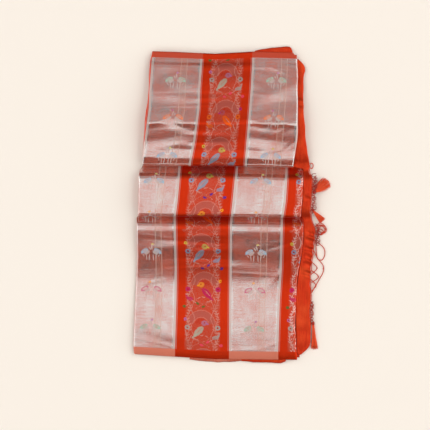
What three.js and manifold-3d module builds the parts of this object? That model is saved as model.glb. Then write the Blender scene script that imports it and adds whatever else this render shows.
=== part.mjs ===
// A tissue saree folded lengthwise into a long pack, tucked twice across and laid flat on a table.
// Millimetres. +X runs along the saree's length, +Y up the pack along its width, +Z up from the table.
// The face of the pack is the decorated end of the cloth, in three stretches parted by two tucked ledges.
import * as THREE from 'three';
import { mergeVertices } from 'three/addons/utils/BufferGeometryUtils.js';
import Module from 'manifold-3d';

const wasm = await Module();
wasm.setup();

// Driving dimensions
const faceWall = 1.6; // one leaf of the face with its slack
const faceRoll = 2.6; // outside radius of the face's side folds
const leafWall = 1.4; // the plain leaf that carries the fringe
const leafRoll = 1.9; // outside radius of its turned edge
const flapLength = 14; // cloth turned back inside a side fold
const gap = 0.3; // between pieces that touch
const coreInset = 3; // how far the inner folds stop short of the edge above them
const lipCount = 4; // folds that show at each side of the pack
const lipDepth = 2.2; // how far each one stands out
const stripWidth = 2; // the edging that the fringe is knotted to
const stripHeight = 2.4;
const cordRadius = 0.9; // a knotted fringe cord
const knotRadius = 1.9;
const strandRadius = 0.7; // one strand of a tassel
const headRadius = 3.4; // a tassel's bound head
const floorClear = 0.4; // the fringe ends just above the table

// Colours
const orangeSilk = new THREE.MeshStandardMaterial({ color: 0xd2401f, roughness: 0.5, metalness: 0 });
const silverTissue = new THREE.MeshStandardMaterial({ color: 0xcdb2aa, roughness: 0.35, metalness: 0.5 });
const salmonTissue = new THREE.MeshStandardMaterial({ color: 0xd0806a, roughness: 0.45, metalness: 0.2 });
const redCord = new THREE.MeshStandardMaterial({ color: 0xc23a20, roughness: 0.7, metalness: 0 });

// The upper stretch, a row for each section: height of its surface and its left and right fold
const upperRows = [
  { y: 361, z: 13, left: -138, right: 172 },
  { y: 350, z: 14.5, left: -140.5, right: 180.6 },
  { y: 330, z: 16, left: -144, right: 181.9 },
  { y: 300, z: 19, left: -145, right: 181.9 },
  { y: 272, z: 24, left: -146, right: 181.9 },
  { y: 250, z: 29.5, left: -148.5, right: 181.9 },
  { y: 228, z: 33, left: -151.6, right: 181.9 },
  { y: 207, z: 34, left: -153.5, right: 181.9 },
  { y: 186, z: 32.6, left: -155.2, right: 181.7 },
  { y: 165, z: 30, left: -156.5, right: 180.4 },
  { y: 148, z: 28.8, left: -157, right: 178 },
  { y: 136, z: 28.6, left: -157.8, right: 176 },
  { y: 127, z: 26.4, left: -158.8, right: 174.4 },
  { y: 120, z: 23.4, left: -159.6, right: 172.8 },
];

// The middle stretch, which starts under the first ledge and climbs over the second tuck
const middleRows = [
  { y: 119, z: 8.6, left: -158, right: 169 },
  { y: 109.5, z: 8.8, left: -159, right: 170 },
  { y: 106.5, z: 9.6, left: -161, right: 189 },
  { y: 102, z: 12.8, left: -164.5, right: 193 },
  { y: 96, z: 19.4, left: -167, right: 193.6 },
  { y: 90, z: 25, left: -167.4, right: 193.8 },
  { y: 82, z: 28.2, left: -168, right: 193.8 },
  { y: 70, z: 29.4, left: -168, right: 193.2 },
  { y: 45, z: 29.4, left: -168.2, right: 192.4 },
  { y: 25, z: 28.8, left: -168.6, right: 190.8 },
  { y: 14, z: 27.8, left: -169.2, right: 189.6 },
];

// The lower stretch, from under the second ledge to the bottom selvedge
const lowerRows = [
  { y: 9, z: 8.8, left: -167, right: 185 },
  { y: -1.5, z: 9, left: -168, right: 187 },
  { y: -5, z: 9.8, left: -172.6, right: 192.5 },
  { y: -10, z: 12.8, left: -173, right: 194.4 },
  { y: -16, z: 16.4, left: -173, right: 194.7 },
  { y: -23, z: 18.6, left: -173, right: 194.7 },
  { y: -34, z: 19, left: -172.8, right: 194.7 },
  { y: -55, z: 17, left: -172.4, right: 194 },
  { y: -80, z: 14.8, left: -171.8, right: 191 },
  { y: -101, z: 13.6, left: -171.8, right: 187.4 },
  { y: -135, z: 12.6, left: -173, right: 182.6 },
  { y: -180, z: 12.3, left: -175.4, right: 178.4 },
  { y: -240, z: 12.2, left: -178, right: 177.6 },
  { y: -285, z: 11.8, left: -179.8, right: 179 },
  { y: -308, z: 10.6, left: -179.4, right: 181 },
  { y: -314, z: 9.6, left: -178, right: 180.6 },
];

// The two ledges: the round nose of each tuck, and how far its lower side runs back
const upperNose = { y: 114, z: 16.4, radius: 6.2, back: 4.5, left: -160.4, right: 171.8 };
const middleNose = { y: 5.2, z: 18.6, radius: 8.6, back: 4, left: -169.8, right: 188.6 };

// The plain leaf along the right: where it comes out from the face, its own edge and its height
const endLeafRows = [
  { y: 347, inner: 168, edge: 184, z: 6.8 },
  { y: 334, inner: 169, edge: 195.8, z: 7.4 },
  { y: 321, inner: 169, edge: 198.9, z: 8.6 },
  { y: 312, inner: 169, edge: 196, z: 9.6 },
  { y: 275, inner: 169, edge: 194.7, z: 14 },
  { y: 250, inner: 169, edge: 194.7, z: 19.2 },
  { y: 228, inner: 169, edge: 195, z: 22.6 },
  { y: 207, inner: 169, edge: 197, z: 23.6 },
  { y: 186, inner: 169, edge: 198.6, z: 22.2 },
  { y: 163, inner: 168, edge: 200.2, z: 20 },
  { y: 148, inner: 166, edge: 202.5, z: 19.2 },
  { y: 136, inner: 172, edge: 204.6, z: 18 },
  { y: 127, inner: 175, edge: 206.5, z: 14.6 },
  { y: 118, inner: 173.2, edge: 207.8, z: 9.8 },
  { y: 110, inner: 172.6, edge: 207.9, z: 8 },
  { y: 106, inner: 193.4, edge: 207.4, z: 7.6 },
  { y: 101, inner: 194, edge: 207, z: 8.6 },
  { y: 95, inner: 194.2, edge: 208, z: 11.6 },
  { y: 88, inner: 194.2, edge: 212, z: 16 },
  { y: 80, inner: 194.2, edge: 213.4, z: 19 },
  { y: 60, inner: 193.4, edge: 212.4, z: 20.2 },
  { y: 35, inner: 192.2, edge: 210, z: 20 },
  { y: 15, inner: 190.2, edge: 209.2, z: 18 },
  { y: 4, inner: 189.4, edge: 210.2, z: 13 },
  { y: -1, inner: 189.4, edge: 211, z: 9.6 },
  { y: -5, inner: 193.2, edge: 211.8, z: 8 },
  { y: -10, inner: 194.8, edge: 213, z: 7.8 },
  { y: -18, inner: 195.2, edge: 216, z: 9.6 },
  { y: -28, inner: 195.2, edge: 219.2, z: 11.4 },
  { y: -38, inner: 195.2, edge: 219.6, z: 11.2 },
  { y: -55, inner: 194.6, edge: 217.5, z: 9.8 },
  { y: -77, inner: 191.8, edge: 215.6, z: 8.8 },
  { y: -112, inner: 186.4, edge: 211.2, z: 7.6 },
  { y: -139, inner: 182.8, edge: 209, z: 7.4 },
  { y: -176, inner: 179.4, edge: 211, z: 7.2 },
  { y: -205, inner: 178.6, edge: 209, z: 7 },
  { y: -260, inner: 179, edge: 211.2, z: 7 },
  { y: -286, inner: 179.8, edge: 207.5, z: 6.8 },
  { y: -303, inner: 181.4, edge: 190, z: 6.6 },
];

// The folds under the face, a row for each section: their height there and under the plain leaf
const coreRows = [
  { y: 357, z: 6.8, strip: 2 },
  { y: 346, z: 8.2, strip: 2.4 },
  { y: 328, z: 10, strip: 3.4 },
  { y: 300, z: 12.8, strip: 6 },
  { y: 272, z: 17.6, strip: 9.4 },
  { y: 250, z: 23, strip: 14.2 },
  { y: 228, z: 26.8, strip: 17.8 },
  { y: 207, z: 27.8, strip: 18.8 },
  { y: 186, z: 26.6, strip: 17.4 },
  { y: 165, z: 24, strip: 15.4 },
  { y: 148, z: 22.8, strip: 14.4 },
  { y: 137, z: 22.4, strip: 13.4 },
  { y: 128, z: 19.6, strip: 10 },
  { y: 121.4, z: 16.4, strip: 6.4 },
  { y: 120.6, z: 2.6, strip: 2.6 },
  { y: 103, z: 2.6, strip: 2.6 },
  { y: 96, z: 8.4, strip: 5.8 },
  { y: 88, z: 17.4, strip: 10.8 },
  { y: 80, z: 21.8, strip: 14.2 },
  { y: 68, z: 23.4, strip: 15.4 },
  { y: 45, z: 23.6, strip: 15.4 },
  { y: 25, z: 22.8, strip: 14.4 },
  { y: 12, z: 21, strip: 11 },
  { y: 10.4, z: 3, strip: 2.6 },
  { y: -7, z: 3, strip: 2.6 },
  { y: -14, z: 7.4, strip: 4 },
  { y: -22, z: 11.8, strip: 5.6 },
  { y: -36, z: 12.6, strip: 6.4 },
  { y: -55, z: 10.8, strip: 5 },
  { y: -80, z: 8.8, strip: 4 },
  { y: -101, z: 7.6, strip: 3.2 },
  { y: -135, z: 6.6, strip: 2.8 },
  { y: -240, z: 6.2, strip: 2.4 },
  { y: -284, z: 5.8, strip: 2.4 },
  { y: -309, z: 4.4, strip: 2 },
];

// How far the ends and the ledges lie askew: a shift in y at five places across the pack
const askewRows = [
  { y: 361, farLeft: 1, left: -2, middle: -6, right: -1, farRight: -4 },
  { y: 300, farLeft: 0, left: -1, middle: -3, right: -1, farRight: -3 },
  { y: 110, farLeft: 1, left: 0, middle: 0, right: -1, farRight: -4 },
  { y: -3, farLeft: 1, left: 0, middle: 0, right: -1, farRight: -3 },
  { y: -240, farLeft: 3, left: 1, middle: -2, right: -3, farRight: -3 },
  { y: -314, farLeft: 8, left: 2, middle: -3, right: -4, farRight: -5 },
];
const askewSpan = 90; // distance between those places

// The largest soft folds: middle, direction in degrees from +X, half length, half width and height
const softFolds = [
  { x: 125, y: 268, turn: 24, long: 55, wide: 14, high: 1.6 },
  { x: 70, y: 318, turn: 4, long: 90, wide: 15, high: -1.5 },
  { x: -90, y: 292, turn: -10, long: 60, wide: 14, high: 1.3 },
  { x: -60, y: 178, turn: 8, long: 70, wide: 13, high: -1.4 },
  { x: 105, y: 172, turn: -6, long: 55, wide: 13, high: -1.3 },
  { x: -100, y: -72, turn: 6, long: 60, wide: 14, high: 1.4 },
  { x: 55, y: -96, turn: -5, long: 85, wide: 14, high: -1.2 },
  { x: 120, y: -150, turn: 38, long: 40, wide: 13, high: 1.1 },
  { x: -110, y: -262, turn: -16, long: 60, wide: 14, high: 1 },
];
const foldHeight = 12; // soft folds fade out from this height down to the table

// Leaves further down that stick out past the face, as sections across: start, end and height
const topLeafRows = [
  { x: 88, from: 354.8, to: 362.2, z: 6.2 },
  { x: 103, from: 354.6, to: 365.6, z: 6.2 },
  { x: 130, from: 354.3, to: 369, z: 6.2 },
  { x: 158, from: 354, to: 371.6, z: 6 },
  { x: 167, from: 353.9, to: 370.6, z: 5.8 },
  { x: 171, from: 353.9, to: 360, z: 5.6 },
];
const bottomLeftLeafRows = [
  { x: -56, from: -306.2, to: -318.4, z: 4 },
  { x: -34, from: -307, to: -321.6, z: 4 },
  { x: 5, from: -308.4, to: -324.6, z: 4 },
  { x: 44, from: -309.8, to: -323.4, z: 4 },
  { x: 66, from: -310.6, to: -320.4, z: 4 },
];
const bottomRightLeafRows = [
  { x: 58, from: -303, to: -321.6, z: 6.7 },
  { x: 84, from: -303, to: -324.4, z: 6.7 },
  { x: 122, from: -303, to: -325.4, z: 6.7 },
  { x: 145, from: -303, to: -326.8, z: 6.7 },
  { x: 156, from: -303, to: -322.6, z: 6.7 },
];

// The fringe: routes of its cords, out from the edging and back to it
const fringeTop = 114; // the edging runs along the plain leaf between these two places
const fringeFoot = -240;
const cordRoutes = [
  [[209, 112, 5.4], [214, 114, 5], [216.4, 108, 4], [213.4, 102, 4.4], [209.4, 104, 5.4]],
  [[214.6, 79, 16.6], [220, 75, 14.4], [215.6, 69, 16], [219.4, 63, 14.6], [213.6, 59.6, 17.4]],
  [[213.4, 45, 17.2], [219.6, 41, 14], [214.6, 35, 16], [219.4, 29, 13.4], [212.4, 23, 16]],
  [[221, -26, 8.6], [231, -21.6, 6], [244, -27, 3.6], [245, -36, 2.8], [236, -42, 3.4], [221.6, -41, 8]],
  [[221.4, -35, 8.4], [233, -31, 5], [239, -37, 3.6], [228, -46, 4], [222.4, -58, 4]],
  [[222.4, -58, 4], [231, -64, 3], [240.6, -74, 2.4], [242, -88, 2], [236, -99, 2], [227.4, -98, 2.4],
    [223.6, -84, 3], [222.4, -58, 4]],
  [[217.4, -78, 6.6], [226, -95, 3.4], [238.6, -112, 2], [239, -124, 2], [230, -142, 2.4], [219.4, -160, 4],
    [212.8, -172, 5.4]],
  [[214, -104, 5.6], [225, -117, 3.2], [211.8, -131, 5.2]],
  [[212.4, -122, 5.4], [228, -136, 2.6], [212.4, -150, 5.2]],
  [[211.4, -142, 5.2], [222.6, -156, 3], [213, -168, 5.2]],
  [[211.6, -192, 5], [217, -199, 3.6], [212.6, -208, 4.6], [217, -217, 3.4], [213, -226, 4.6]],
];
const knots = [
  [245, -31, 3], [222.4, -58, 4], [225, -117, 3.2], [228, -136, 2.6], [222.6, -156, 3], [239, -118, 2],
  [236, -42, 3.4],
];

// The tassels: where the head sits along the edge, where the tassel points, its spread and its length
const tassels = [
  { name: 'tassel_upper', y: 53, z: 15.6, turn: 38, spread: 19, length: 43, across: 8 },
  { name: 'tassel_middle', y: 14, z: 12.4, turn: -48, spread: 10, length: 34, across: 6 },
  { name: 'tassel_lower', y: -236, z: 4.4, turn: -87, spread: 5.6, length: 58, across: 6 },
];
const tasselLayers = 3;
const layerStep = 2; // height between the layers of strands

// A row of a table at y, worked out between its neighbours; the table runs down in y
function rowAt(table, y) {
  const last = table.length - 1;
  if (y >= table[0].y) return table[0];
  if (y <= table[last].y) return table[last];
  const i = table.findIndex((row) => row.y <= y);
  const share = (table[i - 1].y - y) / (table[i - 1].y - table[i].y);
  const row = {};
  for (const key of Object.keys(table[i])) {
    row[key] = THREE.MathUtils.lerp(table[i - 1][key], table[i][key], share);
  }
  return row;
}

function softFold(x, y) {
  let height = 0;
  for (const fold of softFolds) {
    const turn = THREE.MathUtils.degToRad(fold.turn);
    const dx = x - fold.x;
    const dy = y - fold.y;
    const along = (dx * Math.cos(turn) + dy * Math.sin(turn)) / fold.long;
    const across = (dy * Math.cos(turn) - dx * Math.sin(turn)) / fold.wide;
    height += fold.high * Math.exp(-along * along - across * across);
  }
  return height;
}

// Lays a point of the straight pack where it really lies: ends askew, soft folds raised
function laid(x, y, z) {
  const row = rowAt(askewRows, y);
  const shifts = [row.farLeft, row.left, row.middle, row.right, row.farRight];
  const place = THREE.MathUtils.clamp(x / askewSpan + 2, 0, 3.999);
  const i = Math.floor(place);
  const shift = THREE.MathUtils.lerp(shifts[i], shifts[i + 1], place - i);
  const share = THREE.MathUtils.clamp(z / foldHeight, 0, 1);
  return [x, y + shift, z + softFold(x, y) * share];
}

// A closed mesh through rings of equal length; the outline is one ring drawn flat, for the two end caps
function loft(rings, outline) {
  const count = rings[0].length;
  const positions = rings.flat(2);
  const triangles = [];
  for (let r = 0; r + 1 < rings.length; r++) {
    for (let i = 0; i < count; i++) {
      const a = r * count + i;
      const b = r * count + ((i + 1) % count);
      triangles.push(a, b, a + count, b, b + count, a + count);
    }
  }
  const flat = outline.map(([u, v]) => new THREE.Vector2(u, v));
  const sign = Math.sign(THREE.ShapeUtils.area(flat));
  const end = (rings.length - 1) * count;
  for (const face of THREE.ShapeUtils.triangulateShape(flat, [])) {
    const same = Math.sign(THREE.ShapeUtils.area(face.map((i) => flat[i]))) === sign;
    const [a, b, c] = same ? face : [face[1], face[0], face[2]];
    triangles.push(c, b, a, end + a, end + b, end + c);
  }
  return closed(positions, triangles);
}

// A geometry from points and triangles, turned round where needed so that its faces point out
function closed(positions, triangles) {
  const [a, b, c] = [new THREE.Vector3(), new THREE.Vector3(), new THREE.Vector3()];
  let volume = 0;
  for (let i = 0; i < triangles.length; i += 3) {
    a.fromArray(positions, triangles[i] * 3);
    b.fromArray(positions, triangles[i + 1] * 3);
    c.fromArray(positions, triangles[i + 2] * 3);
    volume += a.dot(b.cross(c));
  }
  if (volume < 0) triangles.reverse();
  const geometry = new THREE.BufferGeometry();
  geometry.setAttribute('position', new THREE.Float32BufferAttribute(positions, 3));
  geometry.setIndex(triangles);
  geometry.computeVertexNormals();
  return geometry;
}

function toSolid(geometry) {
  const vertProperties = Float32Array.from(geometry.getAttribute('position').array);
  const triVerts = Uint32Array.from(geometry.getIndex().array);
  return new wasm.Manifold(new wasm.Mesh({ numProp: 3, vertProperties, triVerts }));
}

function toGeometry(solid) {
  const mesh = solid.getMesh();
  return closed(Array.from(mesh.vertProperties), Array.from(mesh.triVerts));
}

// A flat section of cloth with turned edges: x across, and depth below the surface
function turnedSection(left, right, wall, roll, turnLeft) {
  const turnSteps = 4;
  const topSteps = turnLeft ? 6 : 2;
  const line = [];
  const turn = (centre, side, from, to) => {
    for (let i = 0; i <= turnSteps; i++) {
      const angle = THREE.MathUtils.lerp(from, to, i / turnSteps);
      const nx = side * Math.cos(angle);
      const nd = -Math.sin(angle);
      line.push({ x: centre + roll * nx, d: roll + roll * nd, nx, nd });
    }
  };
  const quarter = Math.PI / 2;
  const flap = Math.min(flapLength, right - left - 2 * roll - wall);
  if (turnLeft) {
    line.push({ x: left + roll + flap, d: 2 * roll, nx: 0, nd: 1 });
    turn(left + roll, -1, -quarter, quarter);
  } else {
    line.push({ x: left, d: 0, nx: 0, nd: -1 });
  }
  const start = turnLeft ? left + roll : left;
  for (let i = 1; i < topSteps; i++) {
    line.push({ x: THREE.MathUtils.lerp(start, right - roll, i / topSteps), d: 0, nx: 0, nd: -1 });
  }
  turn(right - roll, 1, quarter, -quarter);
  line.push({ x: right - roll - flap, d: 2 * roll, nx: 0, nd: 1 });
  const inner = line.map((p) => ({ x: p.x - wall * p.nx, d: p.d - wall * p.nd }));
  return [...line, ...inner.reverse()];
}

// The surface line of a stretch seen from the side, over its rows, round its nose and back under
function surfaceLine(rows, nose) {
  const line = [...rows];
  if (nose) {
    const noseSteps = 7;
    for (let i = 0; i <= noseSteps; i++) {
      const angle = Math.PI / 2 + (Math.PI * i) / noseSteps;
      const y = nose.y + nose.radius * Math.cos(angle);
      line.push({ ...nose, y, z: nose.z + nose.radius * Math.sin(angle) });
    }
    line.push({ ...nose, y: nose.y + nose.back, z: nose.z - nose.radius });
  }
  return line.map((p, i) => {
    const before = line[Math.max(i - 1, 0)];
    const after = line[Math.min(i + 1, line.length - 1)];
    const length = Math.hypot(after.y - before.y, after.z - before.z);
    return { ...p, ny: (after.z - before.z) / length, nz: -(after.y - before.y) / length };
  });
}

// One stretch of the face, with its two side folds
function faceStretch(rows, nose) {
  let outline;
  const rings = surfaceLine(rows, nose).map((p) => {
    const section = turnedSection(p.left, p.right, faceWall, faceRoll, true);
    outline = section.map((s) => [s.x, s.d]);
    return section.map((s) => laid(s.x, p.y - p.ny * s.d, p.z - p.nz * s.d));
  });
  return loft(rings, outline);
}

// The plain leaf along the right, with its turned edge
function endLeaf() {
  let outline;
  const rings = endLeafRows.map((row) => {
    const section = turnedSection(row.inner, row.edge, leafWall, leafRoll, false);
    outline = section.map((s) => [s.x, s.d]);
    return section.map((s) => laid(s.x, row.y, row.z - s.d));
  });
  return loft(rings, outline);
}

// The face's side edges over any place of the pack
function faceAt(y) {
  if (y > upperNose.y - upperNose.radius) return rowAt([...upperRows, upperNose], y);
  if (y > middleNose.y - middleNose.radius) return rowAt([...middleRows, middleNose], y);
  return rowAt(lowerRows, y);
}

// A groove between two folds at an end of the pack
function groove(row, side, z) {
  const half = 0.25;
  const corners = [[-lipDepth, -half], [8, -half], [8, half], [-lipDepth, half]];
  const places = [-2.5, -2, -1, 0, 1, 2, 2.5].map((i) => i * askewSpan);
  const rings = places.map((x) => corners.map(([out, up]) => laid(x, row.y + side * out, z + up)));
  return toSolid(loft(rings, corners));
}

// All the folds under the face as one rounded solid, with a lip for each fold along its sides and ends
function innerFolds() {
  const lips = (side, edge, height) => {
    const points = [];
    for (let i = 0; i <= 2 * lipCount; i++) {
      const back = i % 2 === 1 ? 0 : lipDepth;
      points.push([edge - side * back, (height * i) / (2 * lipCount)]);
    }
    return points;
  };
  let outline;
  const rings = coreRows.map((row) => {
    const face = faceAt(row.y);
    const leaf = rowAt(endLeafRows, row.y);
    const shoulder = Math.min(face.right - coreInset, leaf.inner - 1);
    outline = [
      ...lips(-1, face.left + coreInset, row.z),
      [shoulder, row.z],
      [shoulder + 0.5, row.strip],
      ...lips(1, leaf.edge - coreInset, row.strip).reverse(),
    ];
    return outline.map(([x, z]) => laid(x, row.y, z));
  });
  let solid = toSolid(loft(rings, outline));
  const [top, bottom] = [coreRows[0], coreRows[coreRows.length - 1]];
  for (let i = 1; i < lipCount; i++) {
    solid = solid.subtract(groove(top, 1, (top.z * i) / lipCount));
    solid = solid.subtract(groove(bottom, -1, (bottom.z * i) / lipCount));
  }
  return toGeometry(solid);
}

// A leaf of a lower fold that sticks out past the face, as a thin rounded slab
function looseLeaf(rows) {
  const half = leafWall / 2;
  const rings = rows.map((row) => {
    const tip = row.to + Math.sign(row.from - row.to) * half;
    return [
      [row.x, row.from, row.z],
      [row.x, tip, row.z],
      [row.x, row.to, row.z - half],
      [row.x, tip, row.z - leafWall],
      [row.x, row.from, row.z - leafWall],
    ];
  });
  return loft(rings, rings[0].map(([, y, z]) => [y, z]));
}

// A cord along a route of points, with a given number of sides
function cord(route, radius, sides) {
  const up = new THREE.Vector3(0, 0, 1);
  const outline = Array.from({ length: sides }, (_, s) => {
    const angle = (2 * Math.PI * (s + 0.5)) / sides;
    return [radius * Math.cos(angle), radius * Math.sin(angle)];
  });
  const rings = route.map((point, i) => {
    const along = route[Math.min(i + 1, route.length - 1)].clone();
    along.sub(route[Math.max(i - 1, 0)]).normalize();
    const side = new THREE.Vector3().crossVectors(along, up).normalize();
    const over = new THREE.Vector3().crossVectors(side, along).normalize();
    return outline.map(([u, v]) => point.clone().addScaledVector(side, u).addScaledVector(over, v).toArray());
  });
  return toSolid(loft(rings, outline));
}

function ball(centre, radius, detail) {
  const shape = new THREE.IcosahedronGeometry(radius, detail);
  shape.deleteAttribute('normal');
  shape.deleteAttribute('uv');
  shape.translate(...centre);
  return toSolid(mergeVertices(shape));
}

// The knotted net: the edging along the plain leaf, and the cords and knots on it
function fringeNet() {
  const rows = [
    { ...rowAt(endLeafRows, fringeTop), y: fringeTop },
    ...endLeafRows.filter((row) => row.y < fringeTop && row.y > fringeFoot),
    { ...rowAt(endLeafRows, fringeFoot), y: fringeFoot },
  ];
  const drop = leafRoll - stripHeight / 2;
  const section = [[0, 0], [stripWidth, -0.4], [stripWidth, 0.4 - stripHeight], [0, -stripHeight]];
  const rings = rows.map((row) => section.map(([x, z]) => laid(row.edge + gap + x, row.y, row.z - drop + z)));
  let net = toSolid(loft(rings, section));
  for (const route of cordRoutes) {
    const curve = new THREE.CatmullRomCurve3(route.map((p) => new THREE.Vector3(...p)), false, 'centripetal');
    net = net.add(cord(curve.getPoints(3 * (route.length - 1)), cordRadius, 4));
  }
  for (const centre of knots) net = net.add(ball(centre, knotRadius, 0));
  return toGeometry(net);
}

// A tassel: a bound head, and layers of strands that fan out from it and end just above the table
function tassel({ y, z, turn, spread, length, across }) {
  const edge = rowAt(endLeafRows, y).edge + gap + stripWidth;
  const head = new THREE.Vector3(edge + gap + headRadius, laid(edge, y, 0)[1], z);
  let solid = ball(head.toArray(), headRadius, 1);
  for (let layer = 0; layer < tasselLayers; layer++) {
    const low = floorClear + strandRadius + layer * layerStep;
    const high = z + (layer - 1) * (layerStep / 2);
    for (let i = 0; i < across; i++) {
      const fan = (2 * i) / (across - 1) - 1;
      const angle = THREE.MathUtils.degToRad(turn + spread * fan + layer * 1.2);
      const reach = length * (1 - 0.023 * ((i * 5 + layer * 3) % 4));
      const at = (share, drop) => new THREE.Vector3(
        head.x + Math.cos(angle) * reach * share,
        head.y + Math.sin(angle) * reach * share,
        THREE.MathUtils.lerp(high, low, drop),
      );
      solid = solid.add(cord([at(0, 0), at(0.35, 0.25), at(0.72, 0.75), at(1, 1)], strandRadius, 3));
    }
  }
  return toGeometry(solid);
}

const saree = new THREE.Group();

function addPiece(name, geometry, material) {
  const mesh = new THREE.Mesh(geometry, material.clone());
  mesh.name = name;
  saree.add(mesh);
}

addPiece('pallu_upper_fold', faceStretch(upperRows, upperNose), silverTissue);
addPiece('pallu_middle_fold', faceStretch(middleRows, middleNose), silverTissue);
addPiece('pallu_lower_fold', faceStretch(lowerRows, null), silverTissue);
addPiece('inner_folds', innerFolds(), orangeSilk);
addPiece('end_leaf', endLeaf(), orangeSilk);
addPiece('top_leaf', looseLeaf(topLeafRows), salmonTissue);
addPiece('bottom_leaf_left', looseLeaf(bottomLeftLeafRows), salmonTissue);
addPiece('bottom_leaf_right', looseLeaf(bottomRightLeafRows), orangeSilk);
addPiece('fringe_net', fringeNet(), redCord);
for (const row of tassels) addPiece(row.name, tassel(row), redCord);

// The origin is at the middle of the underside
const box = new THREE.Box3().setFromObject(saree);
saree.position.set(-(box.min.x + box.max.x) / 2, -(box.min.y + box.max.y) / 2, -box.min.z);

const part = new THREE.Group();
part.add(saree);

export default part;
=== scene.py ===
# Tissue saree, folded into a long pack, tucked twice and laid flat
import math
import random

import bpy
import numpy as np
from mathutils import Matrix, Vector, noise


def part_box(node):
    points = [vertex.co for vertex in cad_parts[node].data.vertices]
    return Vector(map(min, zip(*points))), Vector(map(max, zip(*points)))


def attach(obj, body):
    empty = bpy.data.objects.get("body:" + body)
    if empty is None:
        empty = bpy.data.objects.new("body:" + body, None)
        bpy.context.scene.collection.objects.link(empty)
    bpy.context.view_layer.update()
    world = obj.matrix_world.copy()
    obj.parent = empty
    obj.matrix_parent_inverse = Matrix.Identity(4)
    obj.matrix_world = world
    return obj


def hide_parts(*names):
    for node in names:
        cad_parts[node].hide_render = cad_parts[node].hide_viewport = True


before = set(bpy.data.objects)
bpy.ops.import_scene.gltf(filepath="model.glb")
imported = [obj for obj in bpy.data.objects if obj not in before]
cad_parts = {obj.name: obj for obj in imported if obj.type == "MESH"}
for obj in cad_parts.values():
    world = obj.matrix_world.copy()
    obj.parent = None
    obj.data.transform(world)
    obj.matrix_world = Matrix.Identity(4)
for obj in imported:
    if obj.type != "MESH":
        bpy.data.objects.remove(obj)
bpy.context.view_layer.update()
print("frame loaded", sorted(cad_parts))

# Lengths below are millimetres on the table, measured from the middle of the photograph.
# The top leaf's far corner is known in both, so it gives the place of the part's own origin.
topLeafCorner = (171.0, 371.6)
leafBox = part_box("top_leaf")
originShift = (leafBox[1][0] * 1000 - topLeafCorner[0], leafBox[1][1] * 1000 - topLeafCorner[1])


def place(x, y, z):
    return ((x + originShift[0]) / 1000, (y + originShift[1]) / 1000, z / 1000)


camera = {
    "height": 5.0,       # metres above the cloth, far enough to keep the pack's sides straight
    "frameWidth": 0.946, # what the photograph takes in, across, at the cloth's height
    "clothHeight": 0.014,
    "sensor": 36.0,
    "clipEnd": 50.0,
}

lights = {
    # soft boxes overhead: name, where each starts and ends towards the top of the pack, width, power
    "overhead": [
        ("mainBox", -0.92, 0.75, 9.0, 52.0), ("highBox", 0.75, 1.5, 9.0, 21.0),
        ("farBox", 1.5, 2.3, 9.0, 12.0), ("endBox", 2.6, 4.7, 9.0, 26.0),
        ("nearBox", -6.4, -4.4, 8.0, 52.0),
    ],
    "overheadHeight": 6.0,
    # large panels at both sides, which light the silk more than the silver: name, place, size, power
    "side": [("leftPanel", (-5.6, -0.3, 3.4), 12.0, 590.0), ("rightPanel", (5.6, 0.3, 3.4), 12.0, 650.0)],
    "colour": (1.0, 0.99, 0.97),
    "sky": {"colour": (1.0, 0.95, 0.9), "strength": 0.025},
}


def putObject(name, data):
    item = bpy.data.objects.new(name, data)
    bpy.context.scene.collection.objects.link(item)
    return item


def addCamera():
    data = bpy.data.cameras.new("photoCamera")
    data.sensor_width = camera["sensor"]
    data.lens = camera["sensor"] * camera["height"] / camera["frameWidth"]
    data.clip_end = camera["clipEnd"]
    item = putObject("photoCamera", data)
    x, y, z = place(0, 0, camera["clothHeight"] * 1000)
    item.location = (x, y, z + camera["height"])
    bpy.context.scene.camera = item


def aim(item, target):
    item.rotation_euler = (Vector(target) - item.location).to_track_quat("-Z", "Y").to_euler()


def addArea(name, power, at, wide, deep):
    data = bpy.data.lights.new(name, "AREA")
    data.shape = "RECTANGLE"
    data.size = wide
    data.size_y = deep
    data.energy = power
    data.color = lights["colour"]
    item = putObject(name, data)
    item.location = at
    return item


def addLights():
    for name, near, far, wide, power in lights["overhead"]:
        addArea(name, power, (0, (near + far) / 2, lights["overheadHeight"]), wide, far - near)
    for name, at, size, power in lights["side"]:
        aim(addArea(name, power, at, size, size), (0, 0, 0))
    world = bpy.data.worlds.new("studio")
    world.use_nodes = True
    back = world.node_tree.nodes["Background"]
    back.inputs["Color"].default_value = (*lights["sky"]["colour"], 1)
    back.inputs["Strength"].default_value = lights["sky"]["strength"]
    bpy.context.scene.world = world
    bpy.context.scene.view_settings.view_transform = "Standard"


addCamera()
addLights()
print("camera and lights")


# Node helpers. A Value is a node's output, and sums of Values make the maths nodes.
class Value:
    def __init__(self, socket):
        self.socket = socket
        self.tree = socket.id_data

    def __add__(self, other):
        return calc("ADD", self, other)

    def __sub__(self, other):
        return calc("SUBTRACT", self, other)

    def __rsub__(self, other):
        return calc("SUBTRACT", other, self)

    def __mul__(self, other):
        return calc("MULTIPLY", self, other)

    def __truediv__(self, other):
        return calc("DIVIDE", self, other)

    def __mod__(self, other):
        return calc("FLOORED_MODULO", self, other)

    def __abs__(self):
        return calc("ABSOLUTE", self)


def feed(node, inputs):
    # links a Value to a node's input, and sets anything else on it
    for name, value in inputs.items():
        if isinstance(value, Value):
            value.tree.links.new(value.socket, node.inputs[name])
        else:
            node.inputs[name].default_value = value


def addNode(tree, kind, inputs, output=0, **settings):
    node = tree.nodes.new("ShaderNode" + kind)
    for name, value in settings.items():
        setattr(node, name, value)
    feed(node, inputs)
    return Value(node.outputs[output])


def calc(operation, *values, clamp=False):
    tree = next(value.tree for value in values if isinstance(value, Value))
    return addNode(tree, "Math", dict(enumerate(values)), operation=operation, use_clamp=clamp)


def most(a, b):
    return calc("MAXIMUM", a, b)


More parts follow.
